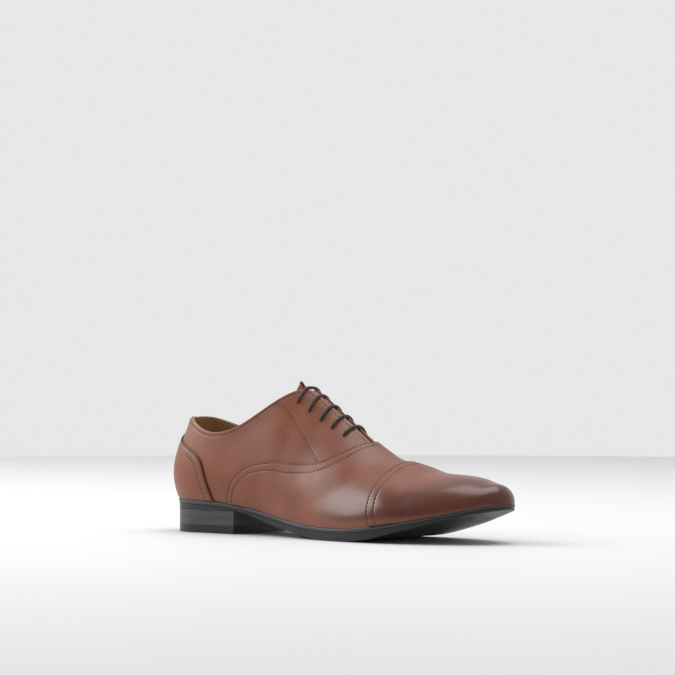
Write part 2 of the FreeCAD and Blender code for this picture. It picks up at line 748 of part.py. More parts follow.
def rounded(points, radius):
    """Wire of straight runs joined by tangent arcs."""
    edges, here = [], points[0]
    for before, corner, after in zip(points, points[1:], points[2:]):
        a, b = (before - corner).normalize(), (after - corner).normalize()
        turn = pi - a.getAngle(b)
        if turn < 1e-3:
            continue
        room = min((before - corner).Length, (after - corner).Length) * 0.48
        cut = min(radius * tan(turn / 2), room)
        start, end = corner + a * cut, corner + b * cut
        r = cut / tan(turn / 2)
        bisector = (a + b).normalize()
        middle = corner + bisector * (sqrt(r * r + cut * cut) - r)
        edges.append(Part.LineSegment(here, start).toShape())
        edges.append(Part.Arc(start, middle, end).toShape())
        here = end
    edges.append(Part.LineSegment(here, points[-1]).toShape())
    return Part.Wire(edges)


def lace():
    path = rounded(lace_points(), 1.9)
    first = path.OrderedEdges[0]
    axis = first.tangentAt(first.FirstParameter)
    ring = Part.Wire(Part.Circle(lace_points()[0], axis, LACE_R).toShape())
    tube = path.makePipeShell([ring], True, False)
    expected = pi * LACE_R ** 2 * path.Length
    if abs(tube.Volume / expected - 1) > 0.01:
        raise RuntimeError("the lace pinches or overlaps: %.0f mm3 for %.0f" % (tube.Volume, expected))
    print("lace %.0f mm long" % path.Length)
    return tube


def aglets():
    made = []
    points = lace_points()
    for end, inner in ((points[0], points[1]), (points[-1], points[-2])):
        axis = (end - inner).normalize()
        start = end - axis * (D["aglet_length"] - 1)
        tube = Part.makeCylinder(LACE_R + 0.45, D["aglet_length"], start, axis)
        made.append(tube.cut(Part.makeCylinder(LACE_R + 0.12, D["aglet_length"], start, axis)))
    return Part.makeCompound(made)


# document objects -----------------------------------------------------------------------

made = []


def keep(thing, label):
    thing.Label = label
    made.append(thing)
    return thing


def feature(label, shape):
    thing = document.addObject("Part::Feature", label)
    thing.Shape = shape
    return keep(thing, label)


def plane(body, role):
    for item in body.Origin.OriginFeatures:
        if item.Role == role:
            return item


def heel_lift(label, order):
    """One layer of the heel: a D-shaped pad with a round back and a straight breast, bored for the pins."""
    body = document.addObject("PartDesign::Body", label)
    sketch = body.newObject("Sketcher::SketchObject", label + "_outline")
    sketch.AttachmentSupport = [(plane(body, "XY_Plane"), "")]
    sketch.MapMode = "FlatFace"
    radius = D["heel_width"] / 2 - 0.8
    back, breast, draw = radius + 1.2, D["heel_length"] * K, D["heel_taper"]
    top = sketch.addGeometry(Part.ArcOfCircle(Part.Circle(V(back, 0, 0), V(0, 0, 1), radius), pi / 2, 3 * pi / 2))
    side = sketch.addGeometry(Part.LineSegment(V(back, -radius, 0), V(breast, -radius + draw, 0)))
    front = sketch.addGeometry(Part.LineSegment(V(breast, -radius + draw, 0), V(breast, radius - draw, 0)))
    other = sketch.addGeometry(Part.LineSegment(V(breast, radius - draw, 0), V(back, radius, 0)))
    C = Sketcher.Constraint
    sketch.addConstraint([C("Coincident", top, 2, side, 1), C("Coincident", side, 2, front, 1),
                          C("Coincident", front, 2, other, 1), C("Coincident", other, 2, top, 1),
                          C("PointOnObject", top, 3, -1),
                          C("Vertical", top, 1, top, 3), C("Vertical", top, 2, top, 3),
                          C("Symmetric", front, 1, front, 2, -1)])
    for kind, args, name, rule in (
            ("Radius", (top, radius), "back_radius", "Sizes.heel_width / 2 - 0.8"),
            ("DistanceX", (-1, 1, top, 3, back), "back_middle", "Sizes.heel_width / 2 + 0.4"),
            ("DistanceX", (-1, 1, front, 1, breast), "breast", "Sizes.heel_length * Sizes.shoe_length / 307"),
            ("DistanceY", (front, 1, front, 2, 2 * (radius - draw)), "breast_width",
             "Sizes.heel_width - 1.6 - 2 * Sizes.heel_taper")):
        index = sketch.addConstraint(C(kind, *args))
        sketch.renameConstraint(index, name)
        sketch.setExpression("Constraints." + name, rule)
    pad = body.newObject("PartDesign::Pad", label + "_pad")
    pad.Profile = sketch
    pad.setExpression("Length", "(Sizes.heel_height - 0.5) / 3")
    body.Tip = pad
    document.recompute()
    if order:
        holes = body.newObject("Sketcher::SketchObject", label + "_holes")
        holes.AttachmentSupport = [(plane(body, "XY_Plane"), "")]
        holes.MapMode = "FlatFace"
        for i, spot in enumerate(pin_spots()):
            ring = holes.addGeometry(Part.Circle(spot, V(0, 0, 1), D["pin_dia"] / 2 + 0.1))
            for kind, value, name, rule in (
                    ("Radius", D["pin_dia"] / 2 + 0.1, "hole_%d" % i, "Sizes.pin_dia / 2 + 0.1"),
                    ("DistanceX", spot.x, "along_%d" % i, "Sizes.heel_width / 2 + 0.4 + Sizes.pin_ring * cos(%g)"
                     % pin_angle(i)),
                    ("DistanceY", spot.y, "across_%d" % i, "Sizes.pin_ring * sin(%g)" % pin_angle(i))):
                if kind == "Radius":
                    index = holes.addConstraint(C(kind, ring, value))
                else:
                    index = holes.addConstraint(C(kind, -1, 1, ring, 3, value))
                holes.renameConstraint(index, name)
                holes.setExpression("Constraints." + name, rule)
        before = body.Shape.Volume
        pocket = body.newObject("PartDesign::Pocket", label + "_bores")
        pocket.Profile = holes
        pocket.Type = "ThroughAll"
        pocket.Midplane = True
        body.Tip = pocket
        document.recompute()
        if body.Shape.Volume >= before:
            raise RuntimeError(label + ": the pin holes took nothing away")
    body.Placement = FreeCAD.Placement(V(0, 0, lift_floor(order)), FreeCAD.Rotation())
    return keep(body, label)


def pin_angle(i):
    return 360.0 * i / D["pin_count"]


def pin_spots():
    middle = D["heel_width"] / 2 + 0.4
    return [V(middle + D["pin_ring"] * cos(radians(pin_angle(i))), D["pin_ring"] * sin(radians(pin_angle(i))), 0)
            for i in range(int(D["pin_count"]))]


def lift_floor(order):
    return order * ((D["heel_height"] - 0.5) / 3 + 0.15)


def heel_pins():
    """Pins through the two upper layers of the heel."""
    pins = []
    for i, spot in enumerate(pin_spots()):
        pin = document.addObject("Part::Cylinder", "pin_%d" % i)
        pin.setExpression("Radius", "Sizes.pin_dia / 2")
        pin.setExpression("Height", "(Sizes.heel_height - 0.5) / 3 * 2 + 0.1")
        pin.Placement = FreeCAD.Placement(V(spot.x, spot.y, lift_floor(1)), FreeCAD.Rotation())
        pins.append(pin)
    group = document.addObject("Part::Compound", "heel_pins")
    group.Links = pins
    return keep(group, "heel_pins")


feature("outsole", outsole())
feature("welt", welt())
feature("cork_filler", filler())
feature("shank", shank())
feature("insole_board", insole())
feature("sock_liner", sock())
heel_lift("top_lift", 0)
heel_lift("heel_lift_lower", 1)
heel_lift("heel_lift_upper", 2)
heel_pins()
feature("vamp", vamp())
feature("toe_cap", toe_cap())
feature("counter_cover", counter_cover())
feature("heel_counter", heel_counter())
feature("topline_tape", topline_tape())
feature("toe_puff", toe_puff())
feature("vamp_backer", vamp_backer())
feature("vamp_lining", vamp_lining())
for name, side in SIDES:
    feature("quarter_" + name, quarter(side))
    feature("quarter_backer_" + name, quarter_backer(side))
    feature("quarter_lining_" + name, quarter_lining(side))
    feature("facing_stay_" + name, facing_stay(side))
feature("eyelets", eyelets())
feature("tongue", tongue())
feature("tongue_lining", tongue_lining())
feature("lace", lace())
feature("aglets", aglets())
document.recompute()

# the origin sits on the ground under the middle of the shoe
corners = [point for thing in made if thing.Label in ("welt", "counter_cover", "toe_cap", "vamp")
           for point in thing.Shape.tessellate(0.1)[0]]
shift = V(-(max(c.x for c in corners) + min(c.x for c in corners)) / 2,
          -(max(c.y for c in corners) + min(c.y for c in corners)) / 2, 0)
for thing in made:
    thing.Placement = FreeCAD.Placement(thing.Placement.Base + shift, thing.Placement.Rotation)
document.recompute()

for thing in made:
    if {"Invalid", "Error"} & set(thing.State) or thing.Shape.isNull() or not thing.Shape.isValid():
        raise RuntimeError("%s did not come out as a valid shape: %s" % (thing.Label, thing.State))
    print("%-22s %9.0f mm3 in %d" % (thing.Label, thing.Shape.Volume, len(thing.Shape.Solids)))
print("moved by %.3f %.3f" % (shift.x, shift.y))

os.makedirs("parts", exist_ok=True)
for thing in made:
    thing.Shape.exportStep("parts/%s.step" % thing.Label)
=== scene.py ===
import math
import bmesh
import bpy
import numpy as np
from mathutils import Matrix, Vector


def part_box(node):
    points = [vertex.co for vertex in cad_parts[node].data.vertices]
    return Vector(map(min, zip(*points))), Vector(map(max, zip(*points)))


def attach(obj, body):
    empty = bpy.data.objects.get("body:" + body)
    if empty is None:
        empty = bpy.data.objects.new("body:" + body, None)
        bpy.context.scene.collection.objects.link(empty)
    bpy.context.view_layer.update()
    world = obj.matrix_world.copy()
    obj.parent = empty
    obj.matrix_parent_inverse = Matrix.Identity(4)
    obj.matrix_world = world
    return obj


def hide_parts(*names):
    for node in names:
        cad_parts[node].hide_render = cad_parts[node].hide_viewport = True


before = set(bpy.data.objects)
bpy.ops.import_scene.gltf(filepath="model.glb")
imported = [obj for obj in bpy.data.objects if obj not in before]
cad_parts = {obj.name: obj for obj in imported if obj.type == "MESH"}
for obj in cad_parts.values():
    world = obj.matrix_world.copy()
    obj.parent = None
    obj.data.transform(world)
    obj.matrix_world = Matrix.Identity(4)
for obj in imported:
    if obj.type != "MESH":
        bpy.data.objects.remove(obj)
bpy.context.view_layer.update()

# The shoe is drawn in millimetres from the back of the heel, like its last, then moved to the row frame.
LENGTH = 307.0
low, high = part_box("welt")
HEEL_X = (low[0] + high[0]) / 2 * 1000 - LENGTH / 2
lift_low, lift_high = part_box("top_lift")
MIDDLE_Y = (lift_low[1] + lift_high[1]) / 2 * 1000


def to_frame(points):
    return (np.asarray(points) + (HEEL_X, MIDDLE_Y, 0.0)) / 1000.0


# the last ---------------------------------------------------------------------------------

def ease(t):
    t = np.clip(t, 0.0, 1.0)
    return t * t * (3 - 2 * t)


def spline(xs, ys):
    """Natural cubic through (xs, ys), held flat outside."""
    xs, ys = np.asarray(xs, float), np.asarray(ys, float)
    n, h = len(xs), np.diff(xs)
    rows, right = np.eye(n), np.zeros(n)
    for i in range(1, n - 1):
        rows[i, i - 1:i + 2] = h[i - 1], 2 * (h[i - 1] + h[i]), h[i]
        right[i] = 3 * ((ys[i + 1] - ys[i]) / h[i] - (ys[i] - ys[i - 1]) / h[i - 1])
    m = np.linalg.solve(rows, right)

    def value(x):
        x = np.clip(x, xs[0], xs[-1])
        i = np.clip(np.searchsorted(xs, x, side="right") - 1, 0, n - 2)
        t = x - xs[i]
        b = (ys[i + 1] - ys[i]) / h[i] - h[i] * (m[i + 1] + 2 * m[i]) / 3
        return ys[i] + b * t + m[i] * t * t + (m[i + 1] - m[i]) / (3 * h[i]) * t ** 3
    return value


def u_of(x):
    return np.arccos(np.clip(1 - 2 * np.asarray(x, float) / LENGTH, -1, 1)) / np.pi


def x_of(u):
    return LENGTH * (1 - np.cos(np.pi * u)) / 2


def along(pairs):
    return spline([float(u_of(x)) for x, _ in pairs], [value for _, value in pairs])


KNOTS = [i / 10 for i in range(11)]
LATERAL = spline(KNOTS, [0, 20.4, 31.6, 33.2, 34.5, 43.5, 51.0, 47.5, 34.0, 17.5, 0])
MEDIAL = spline(KNOTS, [0, 20.4, 31.6, 33.2, 27.5, 30.0, 41.0, 42.0, 32.0, 17.5, 0])
SOLE_TOP = along([(0, 25.5), (40, 24.0), (75, 22.0), (105, 17.5), (140, 11.5), (178, 9.0), (205, 9.8),
                  (225, 12.3), (243, 14.7), (260, 17.7), (275, 20.9), (288.5, 24.1), (300, 27.0),
                  (307, 28.3)])
SOLE_LOW_LINE = along([(0, 17.5), (30, 17.5), (60, 17.5), (76, 17.5), (90, 15.05), (112, 9.3), (140, 4.0),
                       (172, 0.3), (193, 0.0), (215, 1.7), (235, 6.2), (258, 12.2), (272, 16.2),
                       (288, 20.6), (307, 24.7)])
INSET = along([(0, 4.6), (40, 4.6), (70, 4.2), (110, 3.6), (160, 3.6), (220, 3.7), (280, 3.6),
               (307, 3.6)])
CREST = along([(0, 86), (8, 85), (22, 80.5), (40, 76.3), (60, 76.8), (80, 84), (100, 97.5), (110, 104.5),
               (117, 107.0), (122, 105.5), (140, 93.5), (160, 79.0), (176, 67.5), (195, 57.5),
               (218, 51.3), (240, 46.5), (262, 45.0), (280, 43.2), (292, 40.3), (300, 38.6), (305, 34.5),
               (307, 28.9)])
LIP = along([(0, 0), (4, 8.0), (12, 14.0), (30, 22.0), (60, 27.0), (82, 25.0), (100, 19.0), (109, 12.5),
             (115, 6.2), (118.5, 3.0), (121.5, 1.75), (125, 1.5), (130, 1.5), (140, 1.5), (150, 1.5),
             (160, 1.5), (170, 1.5), (178, 1.2), (185, 0.5), (191, 0.05), (196, 0), (204, 0), (220, 0),
             (260, 0), (307, 0)])
LEAN_Y = along([(0, 0), (40, 0), (90, 3), (125, 6.0), (160, 7.0), (200, 7.5), (250, 7.5), (285, 6.5),
                (307, 6.0)])
SWELL = along([(0, 5.5), (40, 6.0), (75, 6.6), (110, 7.4), (150, 4.0), (190, 1.5), (230, 1.5), (280, 2.0),
               (307, 1.0)])
BELLY = along([(0, .30), (40, .33), (80, .36), (120, .34), (150, .34), (185, .42), (215, .50), (260, .52),
               (307, .55)])
NECK = along([(0, .70), (40, .62), (80, .50), (105, .46), (118, .42), (124, .36), (130, .31), (140, .275),
              (150, .32), (160, .38), (172, .44), (185, .485), (215, .545), (240, .59), (260, .62),
              (285, .605), (307, .56)])
BROW = along([(0, .72), (40, .74), (80, .76), (105, .86), (121, .93), (150, .96), (185, .98), (215, 1.0),
              (307, 1.0)])
TILT = spline([0, .12, .3, .5, .75, 1.0], [0.2, -1.8, -4.0, -3.0, 1.2, 5.4])


def sole_low(u):
    return np.maximum(0.0, SOLE_LOW_LINE(u))


def middle(u):
    return 6.0 * np.asarray(u) ** 3


def half(u, side):
    return np.where(side < 0, LATERAL(u), MEDIAL(u))


def edge(u, side, inset):
    """Plan point of the sole outline moved in along its normal."""
    u = np.clip(u, 1e-5, 1 - 1e-5)
    a, b = u - 9e-6, u + 9e-6
    tx = x_of(b) - x_of(a)
    ty = middle(b) - middle(a) + side * (half(b, side) - half(a, side))
    n = np.hypot(tx, ty)
    return x_of(u) + side * ty / n * inset, middle(u) + side * half(u, side) - side * tx / n * inset


def last_point(u, w, side):
    ex, ey = edge(u, side, INSET(u))
    across = edge(u, -side, INSET(u))[0]
    ex = ex + (across - ex) / 2 * ease((w - 0.4) / 0.6)       # both sides come to one place on the ridge
    mid, low, t = middle(u), SOLE_TOP(u), LIP(u)
    f, h = np.abs(ey - mid), np.maximum(CREST(u) - low, 0.01)
    fade = np.minimum(1.0, f / 12.0) * np.minimum(1.0, h / 12.0)
    y1, z1 = f + SWELL(u) * fade, BELLY(u) * h
    y2, z2 = t + NECK(u) * (f - t), BROW(u) * h
    c = 1 - w
    y = c ** 3 * f + 3 * c * c * w * y1 + 3 * c * w * w * y2 + w ** 3 * t
    z = 3 * c * c * w * z1 + 3 * c * w * w * z2 + w ** 3 * h
    x = ex + TILT(w) * (1 - ease(x_of(u) / 95.0))
    return np.stack([x, mid + side * y + (LEAN_Y(u) - mid) * ease(w), low + z], -1)


def last_normal(u, w, side):
    e = 2e-4
    a = last_point(np.clip(u + e, 0, 1), w, side) - last_point(np.clip(u - e, 0, 1), w, side)
    b = last_point(u, np.clip(w + e, 0, 1), side) - last_point(u, np.clip(w - e, 0, 1), side)
    n = np.cross(a, b) * -np.asarray(side, float)[..., None]
    n /= np.linalg.norm(n, axis=-1, keepdims=True)
    n[..., 2] = np.where(n[..., 2] < 0, n[..., 2] * ease(w / 0.08), n[..., 2])
    return n / np.linalg.norm(n, axis=-1, keepdims=True)


def last_at(u, v):
    """Points and normals; v runs from -1 at the lateral edge over the ridge to 1, a negative u swaps sides."""
    u, v = np.broadcast_arrays(np.asarray(u, float), np.asarray(v, float))
    side = np.where(v < 0, -1, 1) * np.where(u < 0, -1, 1)
    u, w = np.abs(u), 1 - np.abs(v)
    points, normals = last_point(u, w, side), last_normal(u, w, side)
    ridge = (np.abs(v) < 1e-6)
    if ridge.any():
        other = last_point(u, w, -side), last_normal(u, w, -side)
        points = np.where(ridge[..., None], (points + other[0]) / 2, points)
        normals = np.where(ridge[..., None], normals + other[1], normals)
        normals /= np.linalg.norm(normals, axis=-1, keepdims=True)
    return points, normals


# pattern lines ----------------------------------------------------------------------------

def pattern(points, shift=0.0):
    ranks = np.linspace(0, 1, len(points))
    xs, ws = spline(ranks, [x + shift for x, _ in points]), spline(ranks, [w for _, w in points])
    return lambda t: (u_of(xs(t)), np.clip(ws(t), 0, 1))


VAMP_EDGE = [(68.5, 0.0), (70.5, 0.15), (75, 0.28), (81.5, 0.36), (91, 0.392), (106, 0.376), (123, 0.372),
             (140, 0.422), (154, 0.49), (164.5, 0.60), (171, 0.735), (174.5, 0.87), (177, 1.0)]
VAMP_FOLD = [(77.5, 0.0), (79.5, 0.11), (83.5, 0.19), (89.5, 0.25), (97.5, 0.276), (108, 0.272), (124, 0.262),
             (142, 0.31), (158, 0.385), (171, 0.51), (178, 0.66), (181.5, 0.83), (183, 1.0)]
CAP_EDGE = [(221, 0.0), (216.5, 0.25), (214, 0.5), (212.5, 0.75), (212, 1.0)]
COUNTER_EDGE = [(55.5, 0.0), (53.5, 0.14), (50.8, 0.28), (47.5, 0.42), (42.5, 0.55), (34, 0.635), (22, 0.672),
                (10, 0.69), (3.2, 0.73), (1.7, 0.80), (1.5, 0.88), (1.5, 0.965)]
LINING_EDGE = [(148, 0.0), (160, 0.33), (172, 0.66), (184, 1.0)]
FACING_SEAM = [(101.5, 0.955), (109.2, 0.81), (114.9, 0.71), (120.1, 0.645), (131.8, 0.572), (144.1, 0.523),
               (150.4, 0.50), (153.4, 0.489)]
END = 0.0012
LINING, OUTER = (0.0, 0.8), (2.0, 3.2)      # each layer's lower and upper height over the last
RAISE = 1.4                                 # how far a lapped piece stands over the one beneath
LACE_R = 1.2
LACE_ON_TOP = OUTER[1] + LACE_R + 0.7
LACE_BELOW = -(LACE_R + 1.0)


EDGE = 1e-5           # keeps a side's top row on its own edge, where 0 would mean the middle of the opening


def over_ridge(curve):
    def place(q):
        u, w = curve(1 - np.abs(2 * q - 1))
        return u, np.where(q < 0.5, w - 1, 1 - w)
    return place


def on_side(curve, side):
    def place(q):
        u, w = curve(q)
        return u, side * np.maximum(1 - w, EDGE)
    return place


def toe_end(q):
    return np.full_like(q, 1 - END), 2 * q - 1


def ruled(back, front):
    def place(p, q):
        (ua, va), (ub, vb) = back(q), front(q)
        return ua + (ub - ua) * p, va + (vb - va) * p
    return place


LAP_END = 0.2


def in_two(edge_line, under, front):
    near, far = ruled(edge_line, under), ruled(under, front)

    def place(p, q):
        a, b = near(p / LAP_END, q), far((p - LAP_END) / (1 - LAP_END), q)
        first = p < LAP_END
        return np.where(first, a[0], b[0]), np.where(first, a[1], b[1])
    return place


CAP_UNDER = pattern(CAP_EDGE, 9)
WING_SHARE = spline([0, 0.33, 0.62, 0.78, 1.0], [0, 0.05, 0.24, 0.50, 1.0])
VAMP_PLACE = in_two(over_ridge(pattern(VAMP_EDGE)), over_ridge(pattern(VAMP_FOLD)),
                    over_ridge(lambda t: CAP_UNDER(WING_SHARE(t))))
CAP_PLACE = in_two(over_ridge(pattern(CAP_EDGE)), over_ridge(CAP_UNDER), toe_end)


def on_last(line, offset, count=240):
    """3-D points of a pattern line at a height over the last."""
    points, normals = last_at(*line(np.linspace(0, 1, count)))
    return points + normals * offset


def nearest(points, line):
    """Distance from each point to a line given as dense points."""
    flat = points.reshape(-1, 3)
    best = np.full(len(flat), 1e9)
    for chunk in np.array_split(np.arange(len(flat)), max(1, len(flat) // 4000)):
        gap = flat[chunk][:, None, :] - line[None, :, :]
        best[chunk] = np.sqrt((gap ** 2).sum(-1)).min(1)
    return best.reshape(points.shape[:-1])


# mesh makers ------------------------------------------------------------------------------

def new_object(name, verts, faces, material, body="shoe"):
    mesh = bpy.data.meshes.new(name)
    mesh.from_pydata([tuple(v) for v in to_frame(verts)], [], [tuple(int(i) for i in f) for f in faces])
    mesh.validate()
    mesh.update()
    for polygon in mesh.polygons:
        polygon.use_smooth = True
    obj = bpy.data.objects.new(name, mesh)
    bpy.context.collection.objects.link(obj)
    obj.data.materials.append(material)
    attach(obj, body)
    return obj


def grid_faces(n, m, start=0, flip=False):
    i, j = np.meshgrid(np.arange(n - 1), np.arange(m - 1), indexing="ij")
    a = start + i * m + j
    quads = np.stack([a, a + 1, a + m + 1, a + m], -1).reshape(-1, 4)
    return quads[:, ::-1] if flip else quads


def spaced(lengths, count, rim=(0.0, 0.08, 0.22, 0.42, 0.7, 1.1)):
    """For each column length, parameter rows that crowd the rims so that they can be rounded."""
    rim = np.asarray(rim)[:, None]
    lengths = np.asarray(lengths)[None, :]
    start, end = rim / lengths, 1 - rim[::-1] / lengths
    inner = np.linspace(0, 1, count + 2)[1:-1][:, None]
    between = start[-1:] + (end[:1] - start[-1:]) * inner
    return np.concatenate([start, between, end], 0)


def solid_grid(name, top, bottom, material, body="shoe", attributes=None):
    """Closed piece between two matching grids of points."""
    n, m = top.shape[:2]
    verts = np.concatenate([top.reshape(-1, 3), bottom.reshape(-1, 3)])
    ring = [i * m for i in range(n)] + [(n - 1) * m + j for j in range(1, m)] + \
           [i * m + m - 1 for i in range(n - 2, -1, -1)] + [j for j in range(m - 2, 0, -1)]
    ring = np.array(ring)
    after = np.roll(ring, -1)
    faces = np.concatenate([grid_faces(n, m), grid_faces(n, m, n * m, True),
                            np.stack([ring, ring + n * m, after + n * m, after], -1)])
    if signed_volume(verts, faces) < 0:
        faces = faces[:, ::-1]
    obj = new_object(name, verts, faces, material, body)
    for key, values in (attributes or {}).items():
        layer = obj.data.attributes.new(key, "FLOAT", "POINT")
        layer.data.foreach_set("value", np.concatenate([values.ravel(), values.ravel()]).astype(np.float32))
    return obj


def signed_volume(verts, faces):
    a, b, c, d = (verts[faces[:, k]] for k in range(4))
    return (np.einsum("ij,ij->i", a, np.cross(b, c)) + np.einsum("ij,ij->i", a, np.cross(c, d))).sum()


def leather(name, place, pitch, layer, material, lift=None, dents=(), radius=0.5, nodes=(), cut_top=False):
    """A thick piece of leather on the last, with rounded rims and a dent along each seam."""
    t = np.linspace(0, 1, 33)
    pp, qq = np.meshgrid(t, t, indexing="ij")
    rough = last_at(*place(pp, qq))[0]
    p_length = np.linalg.norm(np.diff(rough, axis=0), axis=-1).sum(0)
    q_length = float(np.percentile(np.linalg.norm(np.diff(rough, axis=1), axis=-1).sum(1), 80))
    q = spaced([q_length], int(q_length / pitch))[:, 0]
    lengths = np.maximum(np.interp(q, t, p_length), 4.0)
    p = spaced(lengths, int(lengths.max() / pitch))
    q = np.broadcast_to(q[None, :], p.shape)
    u, v = place(p, q)
    points, normals = last_at(u, v)
    away = np.minimum(np.minimum(p, 1 - p) * lengths[None, :], np.minimum(q, 1 - q) * q_length)
    drop = radius * (1 - np.sqrt(np.clip(1 - (1 - np.clip(away / radius, 0, 1)) ** 2, 0, 1)))
    rise = lift(p, q, points) if lift else np.zeros(p.shape)
    skin = points + normals * (layer[1] + rise)[..., None]
    groove, thread = np.zeros(p.shape), np.zeros(p.shape)
    for line, depth, width in dents:
        near = np.exp(-(nearest(skin, line) / width) ** 2)
        groove, thread = np.maximum(groove, depth * near), np.maximum(thread, near)
    top_gap = (1 - q) * q_length if cut_top else np.full(p.shape, 99.0)
    fold = ease(1 - top_gap / 3.0) * (layer[0] - LINING[1] - 0.05)
    top = points + normals * (layer[1] + rise - groove - drop)[..., None]
    bottom = points + normals * (layer[0] + rise + drop * 0.3 - fold)[..., None]
    x, w = points[..., 0], 1 - np.abs(v)
    # painted shade along each rim except the top one, and in the stitch grooves
    looks = {"rim_and_groove_shade": np.maximum(np.where(top_gap < 2, 0.0, np.exp(-(away / 0.7) ** 2)), 0.28 * thread),
             "cut": np.exp(-(top_gap / 0.8) ** 2) * (1 - 0.55 * ease((x - 104) / 14)),
             # burnished toe; painted shade for the dark reflection along the lower flank from mid-foot
             # forward; a little darker along the bottom edge
             "burnish_and_shade": np.clip(ease((x - 228) / 70) + 0.95 * ease((x - 150) / 60) * ease((0.62 - w) / 0.34)
                                * ease((w - 0.02) / 0.10) + 0.3 * ease((0.08 - w) / 0.08), 0, 1)}
    obj = solid_grid(name, top, bottom, material, attributes=looks)
    for node in nodes:
        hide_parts(node)
    return obj


LAP_FLAT, LAP_EASE = 1.5, 20.0      # how far past the lap line the leather stays raised, then settles


def lap_lift(under):
    """Height over the piece beneath, easing down past the lap line."""
    line = on_last(under, 0.0, 300)

    def lift(p, q, points):
        past = nearest(points, line) - LAP_FLAT
        return np.where(p <= LAP_END, RAISE, RAISE * (1 - ease(past / LAP_EASE)))
    return lift


def inside(curve, far, share):
    """Pattern line part of the way between two others."""
    def line(t):
        (u, w), (ub, wb) = curve(t), far(t)
        return u + (ub - u) * share, w + (wb - w) * share
    return line


def below_top(u, side, depth):
    """How far up each section lies at a distance from its top, measured in the surface."""
    steps = np.linspace(1, 0.4, 121)
    uu, ww = np.meshgrid(u, steps, indexing="ij")
    points = last_point(uu, ww, side)
    steps_walked = np.linalg.norm(np.diff(points, axis=1), axis=-1).cumsum(1)
    walked = np.concatenate([np.zeros((len(u), 1)), steps_walked], 1)
    return np.array([np.interp(depth, walked[i], steps) for i in range(len(u))])


def inset_line(curve, distance, sign, count=160):
    """Pattern line moved sideways in the surface by a distance, in small steps."""
    u, w = (np.array(values, float) for values in curve(np.linspace(0, 1, count)))
    for _ in range(4):
        here, normals = last_at(u, 1 - w)
        tangent = np.gradient(here, axis=0)
        tangent /= np.linalg.norm(tangent, axis=-1, keepdims=True)
        step = np.cross(normals, tangent) * sign * distance / 4
        e = 1e-4
        du = (last_point(np.clip(u + e, 0, 1), w, 1) - last_point(np.clip(u - e, 0, 1), w, 1)) / (2 * e)
        dw = (last_point(u, np.clip(w + e, 0, 1), 1) - last_point(u, np.clip(w - e, 0, 1), 1)) / (2 * e)
        a, b, c = (du * du).sum(-1), (du * dw).sum(-1), (dw * dw).sum(-1)
        f, g = (du * step).sum(-1), (dw * step).sum(-1)
        det = np.maximum(a * c - b * b, 1e-6)
        u, w = np.clip(u + (f * c - g * b) / det, 1e-4, 1), np.clip(w + (g * a - f * b) / det, 0, 1)
    t = np.linspace(0, 1, count)
    return lambda q: (np.interp(q, t, u), np.interp(q, t, w))


def stitches(name, rows, material, pitch=3.1, length=1.7, radius=0.27):
    """Threads of several seams: short capsules lying along each row of points."""
    ring = np.linspace(0, 2 * np.pi, 7)[:-1]
    shape = [(-0.5, 0.25), (-0.38, 0.8), (-0.15, 1.0), (0.15, 1.0), (0.38, 0.8), (0.5, 0.25)]
    verts, faces = [], []
    for points, normals in rows:
        walked = np.concatenate([[0], np.linalg.norm(np.diff(points, axis=0), axis=-1).cumsum()])
        for middle_at in np.arange(pitch * 0.6, walked[-1] - pitch * 0.5, pitch):
            spots = np.array([[np.interp(middle_at + s * length, walked, points[:, k]) for k in range(3)]
                              for s, _ in shape])
            up = np.array([np.interp(middle_at, walked, normals[:, k]) for k in range(3)])
            ahead = spots[-1] - spots[0]
            across = np.cross(up, ahead)
            across /= np.linalg.norm(across)
            up = np.cross(ahead, across) / np.linalg.norm(ahead)
            first = len(verts)
            for spot, (s, r) in zip(spots, shape):
                dip = radius * 0.5 * abs(2 * s) ** 3
                verts += [spot - up * dip + (across * np.cos(a) + up * np.sin(a)) * radius * r for a in ring]
            for k in range(len(shape) - 1):
                for j in range(6):
                    a, b = first + k * 6 + j, first + k * 6 + (j + 1) % 6
                    faces.append((a, b, b + 6, a + 6))
            last = first + 6 * (len(shape) - 1)
            faces += [(first + 3, first + 2, first + 1, first), (first + 5, first + 4, first + 3, first),
                      (last, last + 1, last + 2, last + 3), (last, last + 3, last + 4, last + 5)]
    return new_object(name, verts, faces, material)


def rings_object(name, rings, material, nodes=()):
    """Closed loops of points joined one to the next, and the last to the first."""
    count = len(rings[0])
    verts, faces = np.concatenate(rings), []
    for k in range(len(rings) - 1):
        a = k * count + np.arange(count)
        b = k * count + (np.arange(count) + 1) % count
        faces.append(np.stack([a, b, b + count, a + count], -1))
    last = (len(rings) - 1) * count
    a, b = np.arange(count), (np.arange(count) + 1) % count
    faces.append(np.stack([last + a, last + b, b, a], -1))
    faces = np.concatenate(faces)
    if signed_volume(verts, faces) < 0:
        faces = faces[:, ::-1]
    obj = new_object(name, verts, faces, material)
    mesh = bmesh.new()
    mesh.from_mesh(obj.data)
    bmesh.ops.remove_doubles(mesh, verts=mesh.verts, dist=2e-6)
    mesh.to_mesh(obj.data)
    mesh.free()
    for node in nodes:
        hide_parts(node)
    return obj


STATIONS = 200


def sole_ring(inset, height):
    """One closed loop along the sole outline."""
    u = np.linspace(0, 1, STATIONS)
    loops = []
    for side, order in ((-1, slice(None)), (1, slice(-2, 0, -1))):
        x, y = edge(u, side, inset(u))
        loops.append(np.stack([x, y, height(u)], -1)[order])
    return np.concatenate(loops)


# materials --------------------------------------------------------------------------------

